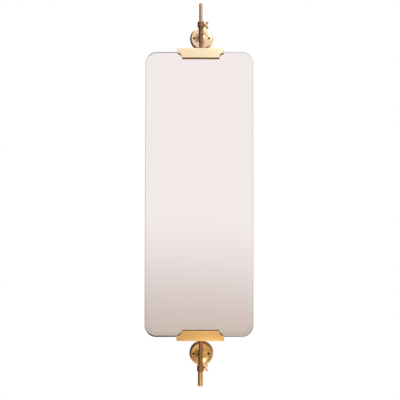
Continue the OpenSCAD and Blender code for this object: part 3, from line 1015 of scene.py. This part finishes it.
# %% [markdown]
# ## Wing screws
#
# A wing screw is a small casting with two round ears on a hub, and a thread cut on its shank.
# The hub is turned, each ear is a thick disc on a tapering web, and one skin rounds them all. The
# thread is modelled as grooves, at its real 0.8 mm.

# %% Wing screws
HUB_X, HUB_R, HUB_L, HUB_ROUND = 15.85, 4.3, 6, 0.6
TIP_R, TIP_L = (2.6, 2), (1.6, 2.2)
LOBE_R, LOBE_Y, LOBE_X, WING_T = 5, 8.25, 6, 2.6
WEB = ((0, 0.5), (HUB_R, 0.5), (LOBE_Y + 2, LOBE_X - 1.8), (LOBE_Y - 3.6, LOBE_X + 1.3),
       (0, HUB_L))
WING_TURN = {"upper": 28, "lower": 6}


def ear(way):
    """One ear of a wing screw with its web, drawn in the plane of the wings."""
    lobe = drum(LOBE_R, -WING_T / 2, WING_T / 2, 40)
    moved(lobe, at(way * LOBE_Y, 0, LOBE_X) @ OUT_OF_WALL)
    pen = Pen(*WEB[0])
    for out, up in WEB[1:]:
        pen.to(way * out, up)
    web = pen.filled()
    thickened(web, WING_T)
    return lobe, moved(web, at(0, WING_T / 2, 0))


def wing_place(side):
    turn = Matrix.Rotation(math.radians(WING_TURN[side]), 4, "X")
    return bracket_place(side) @ at(0, AXIS_Y, SCREW_Z) @ turn


def wing_screw(side):
    hub = Pen(0, 0).out_round(HUB_R, 0, HUB_ROUND, 4).in_round(HUB_R, HUB_L, HUB_ROUND, 4)
    hub.to(TIP_R[0], HUB_L).to(TIP_R[1], HUB_L + TIP_L[0]).to(0, HUB_L + TIP_L[1])
    parts = [part for way in (-1, 1) for part in ear(way)]
    bm = cast(hub.turned(64), parts, voxel=0.25, passes=6)
    return moved(bm, wing_place(side) @ at(HUB_X, 0, 0) @ TO_THE_RIGHT)


print("the ears reach", LOBE_Y + LOBE_R, "mm from the screw's axis")

# %% The wing screws' threads
PAD_END_X, THREAD_PITCH, THREAD_DEEP = 9.3, 0.8, 0.45
CREST_LOW, CREST_HIGH, ROOT_LOW = 0.3, 0.45, 0.75


def wing_thread(side):
    root_r = THREAD_R - THREAD_DEEP
    pen = Pen(0, PAD_END_X).to(root_r, PAD_END_X)
    for groove in range(int((HUB_X - PAD_END_X) / THREAD_PITCH)):
        low = PAD_END_X + groove * THREAD_PITCH
        pen.to(THREAD_R, low + CREST_LOW).to(THREAD_R, low + CREST_HIGH).to(root_r, low + ROOT_LOW)
    pen.to(root_r, HUB_X + 1).to(0, HUB_X + 1)
    return moved(pen.turned(40), wing_place(side) @ TO_THE_RIGHT)


# The upper wing screw is painted paler than the lower one, as painted light for the stronger light
# above.
wing_brass = {
    "upper": brass("upper_wing_brass", "#f0cb8c", "#b98d52", 0.2, 0.5, as_cast, depth=0.00002),
    "lower": brass("lower_wing_brass", "#ecc27e", "#b98d52", 0.2, 0.34, as_cast, depth=0.00002),
}
thread_brass = brass("thread_brass", "#c99b5b", "#5e4120", 0.5, 0.3, as_cast)
for side in SIDES:
    node = side + "_wing_screw"
    dress(wing_screw(side), side + "_wing_casting", node, wing_brass[side], sharp=40)
    dress(wing_thread(side), side + "_wing_thread", node, thread_brass)

# %% [markdown]
# ## The solids that are right as they are
#
# Screws, bolts, pads, the ball, the liners and the backing board are small or flat, and their
# solids already have the right shape. They only get a finish: stained zinc-plated steel, brass,
# dark brown rubber with its pale bloom, and brown hardboard with its pressed mesh pattern, which
# two crossed sine waves draw at its real 2.2 mm.

# %% Zinc-plated steel
def steel():
    finish = Finish("zinc_steel", Metallic=1.0)
    grain = finish.noise(finish.place, 1300, 4)
    stains = finish.between(finish.noise(finish.place, 160, 4), 0.5, 0.75)
    zinc = finish.mix(stains, rgba("#b9bbba"), rgba("#8b847a"))
    return finish.done(zinc, 0.24 + grain * 0.14 + stains * 0.12, grain, 0.00002)


zinc = steel()

# %% Rubber
def rubber():
    finish = Finish("liner_rubber", IOR=1.5)
    grain = finish.noise(finish.place, 1800, 2)
    bloom = finish.between(finish.noise(finish.place, 90, 4), 0.45, 0.7)
    brown = finish.mix(bloom, rgba("#402c1b"), rgba("#574026"))
    return finish.done(brown, 0.6 + grain * 0.2, grain, 0.00004)


brown_rubber = rubber()

# %% Hardboard
MESH_PITCH = 0.0022


def hardboard():
    finish = Finish("hardboard", IOR=1.5)
    x, _, z = finish.split(finish.place)
    waves = [(part * (math.tau / MESH_PITCH)).maths("SINE") for part in (x, z)]
    screen = waves[0] * waves[1] * 0.5 + 0.5
    fibres = finish.noise(finish.place, 700, 5, 0.7)
    blotches = finish.noise(finish.place, 12, 4)
    brown = finish.mix(blotches, rgba("#6f5237"), rgba("#85684a"))
    brown = finish.mix(finish.clamp(fibres * 0.7 + screen * 0.25), rgba("#4d3825"), brown)
    return finish.done(brown, 0.7 + fibres * 0.2, screen * 0.7 + fibres * 0.3, 0.00025)


board = hardboard()

# %% Finishing the solids
def paint(material, *names):
    """Gives solids a finish in place of the plain one that they came with."""
    for name in names:
        data = nodes[name].data
        data.materials.clear()
        data.materials.append(material)
        print(name, "wears", material.name)


paint(board, "backing_board")
paint(brown_rubber, *(side + "_clamp_liner" for side in SIDES))
for kind in ("clamp_screws", "rod_grub_screw", "plate_bolt"):
    paint(zinc, *(side + "_" + kind for side in SIDES))
paint(zinc, "thrust_ball")
paint(brass("pad_brass", "#d9b071", "#8a6536", 0.3, 0.3, as_cast),
      *(side + "_pressure_pad" for side in SIDES))

# %% [markdown]
# ## The room
#
# A mirror shows the room, so the room matters more than the lamps. Straight ahead it is a pale
# pink wall that turns beige towards the floor, which the glass shows as a soft fade in its lower
# third, and above it is a bright ceiling. To the left it is dark, which puts the brown edge on
# every round bar, and to the right it is bright, with a duller panel at eye height, so that the
# glass doesn't turn plain white when it is seen from the left. The camera itself sees plain
# white behind the mirror.

# %% World
WALL_PINK = (0.965, 0.885, 0.89, 1)
LOW_BEIGE = (0.6, 0.486, 0.427, 1)
FLOOR_BROWN = (0.05, 0.033, 0.022, 1)
LEFT_DARK = (0.13, 0.093, 0.066, 1)
CEILING_BRIGHT = (1.5, 1.46, 1.42, 1)
RIGHT_BRIGHT = (1.15, 1.08, 1.0, 1)
RIGHT_PANEL = (0.6, 0.55, 0.52, 1)
WHITE = (1, 1, 1, 1)


def build_room():
    world = bpy.data.worlds.new("room")
    world.use_nodes = True
    room = Network(world.node_tree)
    background = room.tree.nodes["Background"]
    x, y, z = room.split(room.node("ShaderNodeTexCoord", {}, {}, "Generated"))
    down, left, front = z * -1, x * -1, y * -1
    ahead = room.mix(room.between(down - x * 0.06, 0.04, 0.31), WALL_PINK, LOW_BEIGE)
    ahead = room.mix(room.between(down, 0.4, 0.62), ahead, FLOOR_BROWN)
    ahead = room.mix(room.between(z, 0.55, 0.7), ahead, CEILING_BRIGHT)
    panel = (1 - room.between(z.maths("ABSOLUTE"), 0.1, 0.26)) * room.between(front, 0.1, 0.4)
    around = room.mix(room.between(left, 0.4, 0.75), ahead, LEFT_DARK)
    right = room.mix(panel, RIGHT_BRIGHT, RIGHT_PANEL)
    around = room.mix(room.between(x, 0.5, 0.9), around, right)
    seen = room.node("ShaderNodeLightPath", {}, {}, "Is Camera Ray")
    room.fill(background.inputs["Color"], room.mix(seen, around, WHITE))
    bpy.context.scene.world = world
    print("the room has", len(room.tree.nodes), "nodes")


build_room()
bpy.context.scene.view_settings.view_transform = "Standard"

# %% [markdown]
# ## Two lamps
#
# One large soft lamp from the upper right gives form to everything that isn't a mirror. The
# second is small, cool and low in front: it puts the pale highlight beside the foot of the lower
# arm. The glass would show it as a white patch, so light linking keeps it off the glass, as a
# photographer's card would.

# %% Lamps
def lamp(name, place, aim, size, watts, tint):
    data = bpy.data.lights.new(name, "AREA")
    data.shape, data.size, data.size_y = "RECTANGLE", *size
    data.energy, data.color = watts, tint
    thing = bpy.data.objects.new(name, data)
    thing.location = place
    thing.rotation_euler = (Vector(aim) - Vector(place)).to_track_quat("-Z", "Y").to_euler()
    bpy.context.scene.collection.objects.link(thing)
    print(name, "lamp of", watts, "W at", place)
    return thing


lamp("key", place=(1.3, -1.9, 2.5), aim=(0, 0, 0.7), size=(1.4, 1.4), watts=18,
     tint=(0.97, 0.98, 1.0))
low_lamp = lamp("low", place=(0.047, -1.39, -0.7), aim=(0, 0, 0), size=(0.24, 0.4), watts=3.4,
                tint=(0.8, 0.9, 1.0))
carded_off = bpy.data.collections.new("carded_off")
carded_off.objects.link(glass)
carded_off.collection_objects[0].light_linking.link_state = "EXCLUDE"
low_lamp.light_linking.receiver_collection = carded_off

# %% [markdown]
# ## The floor and the painted shade behind the screw holes
#
# Two things belong to the place: a pale disc far below is the floor, and small dark discs behind
# the plates' empty screw holes are painted shade, for the dark holes drilled in the wall.

# %% Floor and the painted shade in the holes
FLOOR_R, FLOOR_Z = 1.6, -1.1
HOLE_SHADE_R, HOLE_SHADE_Y = HOLE_R * 1.2, 0.5


def set_stage(bm, name, finish, dark, pale, noise, roughness, spread):
    """Finishes a piece of the stage in two shades."""
    finish.set("Base Color", finish.mix(noise, rgba(dark), rgba(pale)))
    finish.set("Roughness", roughness + noise * spread)
    thing = in_scene(bm, name)
    thing.data.materials.append(finish.material)
    print(name, "is", [round(length, 3) for length in thing.dimensions], "m")


disc = bmesh.new()
bmesh.ops.create_circle(disc, cap_ends=True, segments=128, radius=FLOOR_R)
bmesh.ops.translate(disc, verts=disc.verts, vec=(0, 0, FLOOR_Z))
pale_floor = Finish("pale_floor", IOR=1.45)
grain = pale_floor.noise(pale_floor.place, 60, 5)
set_stage(disc, "floor", pale_floor, "#d9d4cd", "#e2ded8", grain, 0.6, 0.1)

# Dark discs behind the plates' screw holes: painted shade for the holes in the wall.
holes = bmesh.new()
for x in (-HOLE_X, HOLE_X):
    for z in (ARM_Z["lower"], ARM_Z["upper"]):
        bmesh.ops.create_circle(holes, cap_ends=True, segments=32, radius=HOLE_SHADE_R * mm,
                                matrix=at(x, HOLE_SHADE_Y, z) @ OUT_OF_WALL)
hole_shade = Finish("painted_hole_shade", IOR=1.3)
dust = hole_shade.noise(hole_shade.place, 900, 3)
set_stage(holes, "painted_hole_shade_discs", hole_shade, "#0c0907", "#1b1511", dust, 0.9, 0.1)

# %% [markdown]
# The dressed mirror has to stay inside the box of its solids.
